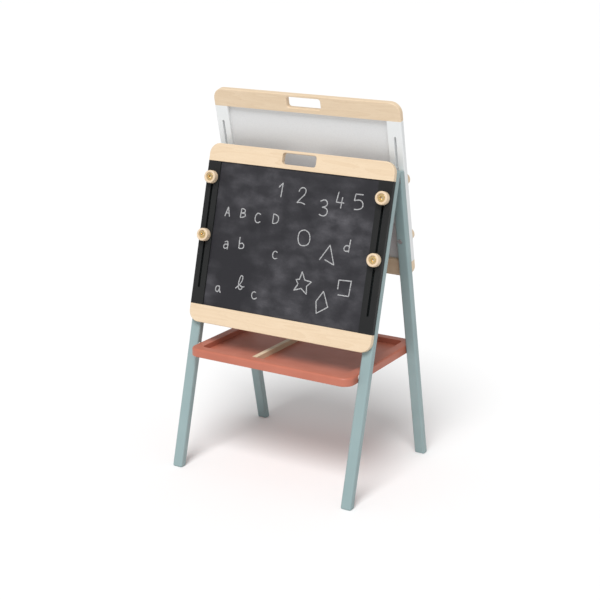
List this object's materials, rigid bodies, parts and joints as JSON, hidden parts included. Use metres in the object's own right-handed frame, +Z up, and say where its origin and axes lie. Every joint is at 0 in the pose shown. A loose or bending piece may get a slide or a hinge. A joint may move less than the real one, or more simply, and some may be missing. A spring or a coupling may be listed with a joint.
{
  "type": "kids easel",
  "caption": "Folding double-sided easel for a child: a chalkboard and a whiteboard slide on leaning legs and clamp with knobs, over a divided tray.",
  "frame": {"origin": "on the floor, under the middle of the easel", "axes": "+Z up; -Y towards the person at the chalkboard, +Y towards the whiteboard; +X to the right seen from the chalkboard's side"},
  "size_m": [0.56, 0.466, 1.0264],
  "materials": {
    "sage_paint": "satin paint",
    "beech": "clear matt lacquer",
    "black_paint": "matt paint",
    "white_paint": "satin paint",
    "chalk_surface": "matt chalkboard coating on hardboard",
    "white_surface": "gloss dry-wipe face",
    "terracotta_paint": "satin paint on fibreboard",
    "steel": "zinc plated",
    "brass": "plain",
    "nylon": "plain"
  },
  "bodies": {
    "front_frame": {"front_left_leg": "sage_paint", "front_left_hinge_leaf": "steel", "front_right_leg": "sage_paint", "front_right_hinge_leaf": "steel", "front_hinge_screws": "steel", "front_clamp_bolts": "steel", "front_clamp_washers": "steel", "hinge_pins": "steel", "tray_pivot_pins": "steel", "tray_spacers": "nylon"},
    "rear_frame": {"rear_left_leg": "sage_paint", "rear_left_hinge_leaf": "steel", "rear_right_leg": "sage_paint", "rear_right_hinge_leaf": "steel", "rear_hinge_screws": "steel", "rear_clamp_bolts": "steel", "rear_clamp_washers": "steel", "catch_barrels": "brass", "catch_balls": "steel"},
    "chalkboard": {"chalkboard_top_rail": "beech", "chalkboard_bottom_rail": "beech", "chalkboard_left_stile": "black_paint", "chalkboard_right_stile": "black_paint", "chalkboard_panel": "chalk_surface", "chalkboard_dowels": "beech"},
    "whiteboard": {"whiteboard_top_rail": "beech", "whiteboard_bottom_rail": "beech", "whiteboard_left_stile": "white_paint", "whiteboard_right_stile": "white_paint", "whiteboard_panel": "white_surface", "whiteboard_dowels": "beech"},
    "tray": {"tray": "terracotta_paint", "tray_divider": "beech", "tray_divider_screws": "steel", "tray_pivot_bushes": "nylon", "tray_strikes": "steel"},
    "front_upper_left_knob": {"front_upper_left_knob": "beech", "front_upper_left_knob_insert": "brass"},
    "front_upper_right_knob": {"front_upper_right_knob": "beech", "front_upper_right_knob_insert": "brass"},
    "front_lower_left_knob": {"front_lower_left_knob": "beech", "front_lower_left_knob_insert": "brass"},
    "front_lower_right_knob": {"front_lower_right_knob": "beech", "front_lower_right_knob_insert": "brass"},
    "rear_upper_left_knob": {"rear_upper_left_knob": "beech", "rear_upper_left_knob_insert": "brass"},
    "rear_upper_right_knob": {"rear_upper_right_knob": "beech", "rear_upper_right_knob_insert": "brass"},
    "rear_lower_left_knob": {"rear_lower_left_knob": "beech", "rear_lower_left_knob_insert": "brass"},
    "rear_lower_right_knob": {"rear_lower_right_knob": "beech", "rear_lower_right_knob_insert": "brass"}
  },
  "joints": [
    {"name": "frame_fold", "type": "hinge", "parent": "front_frame", "child": "rear_frame", "pos_m": [0, 0, 0.842], "axis": [-1, 0, 0], "range_deg": [0, 27]},
    {"name": "tray_swing", "type": "hinge", "parent": "front_frame", "child": "tray", "pos_m": [0, -0.13945, 0.332], "axis": [-1, 0, 0], "range_deg": [0, 102.6]},
    {"name": "chalkboard_slide", "type": "slide", "parent": "front_frame", "child": "chalkboard", "axis": [0, 0.2436, 0.9699], "range_m": [0, 0.055]},
    {"name": "whiteboard_slide", "type": "slide", "parent": "rear_frame", "child": "whiteboard", "axis": [0, -0.2436, 0.9699], "range_m": [-0.1235, 0.0175]},
    {"name": "front_upper_left_knob_turn", "type": "hinge", "parent": "front_frame", "child": "front_upper_left_knob", "pos_m": [-0.26, -0.06181, 0.78886], "axis": [0, -0.9699, 0.2436], "range_deg": [0, 360]},
    {"name": "front_upper_right_knob_turn", "type": "hinge", "parent": "front_frame", "child": "front_upper_right_knob", "pos_m": [0.26, -0.06181, 0.78886], "axis": [0, -0.9699, 0.2436], "range_deg": [0, 360]},
    {"name": "front_lower_left_knob_turn", "type": "hinge", "parent": "front_frame", "child": "front_lower_left_knob", "pos_m": [-0.26, -0.1003, 0.63562], "axis": [0, -0.9699, 0.2436], "range_deg": [0, 360]},
    {"name": "front_lower_right_knob_turn", "type": "hinge", "parent": "front_frame", "child": "front_lower_right_knob", "pos_m": [0.26, -0.1003, 0.63562], "axis": [0, -0.9699, 0.2436], "range_deg": [0, 360]},
    {"name": "rear_upper_left_knob_turn", "type": "hinge", "parent": "rear_frame", "child": "rear_upper_left_knob", "pos_m": [-0.26, 0.05448, 0.81805], "axis": [0, 0.9699, 0.2436], "range_deg": [0, 360]},
    {"name": "rear_upper_right_knob_turn", "type": "hinge", "parent": "rear_frame", "child": "rear_upper_right_knob", "pos_m": [0.26, 0.05448, 0.81805], "axis": [0, 0.9699, 0.2436], "range_deg": [0, 360]},
    {"name": "rear_lower_left_knob_turn", "type": "hinge", "parent": "rear_frame", "child": "rear_lower_left_knob", "pos_m": [-0.26, 0.09297, 0.66481], "axis": [0, 0.9699, 0.2436], "range_deg": [0, 360]},
    {"name": "rear_lower_right_knob_turn", "type": "hinge", "parent": "rear_frame", "child": "rear_lower_right_knob", "pos_m": [0.26, 0.09297, 0.66481], "axis": [0, 0.9699, 0.2436], "range_deg": [0, 360]}
  ],
  "couplings": [
    {"joint": "tray_swing", "follows": "frame_fold", "ratio": 3.8}
  ]
}
